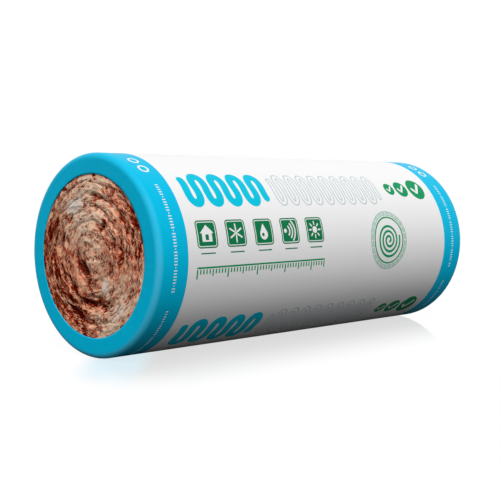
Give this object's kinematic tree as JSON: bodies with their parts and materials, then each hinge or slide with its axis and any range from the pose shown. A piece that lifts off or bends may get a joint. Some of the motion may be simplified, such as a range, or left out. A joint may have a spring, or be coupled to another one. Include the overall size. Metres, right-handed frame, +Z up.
{
  "type": "insulation roll",
  "caption": "Packed roll of mineral wool insulation lying on its side: a tightly wound mat in a printed film sleeve that wraps over both rims as flat collars round open eyes.",
  "frame": {"origin": "on the floor, below the middle of the roll's length", "axes": "+X along the roll's own axis, +Z up, +Y level across the roll towards the side where the film laps over itself"},
  "size_m": [1.2226, 0.4904, 0.4903],
  "materials": {
    "glass_wool": "matte brown and cream mineral wool, fibrous, cut ends of the wound mat",
    "printed_film": "smooth satin polyethylene film, white with printed bright blue end bands"
  },
  "bodies": {
    "root": {"wool_roll": "glass_wool", "film_sleeve": "printed_film"}
  },
  "joints": []
}
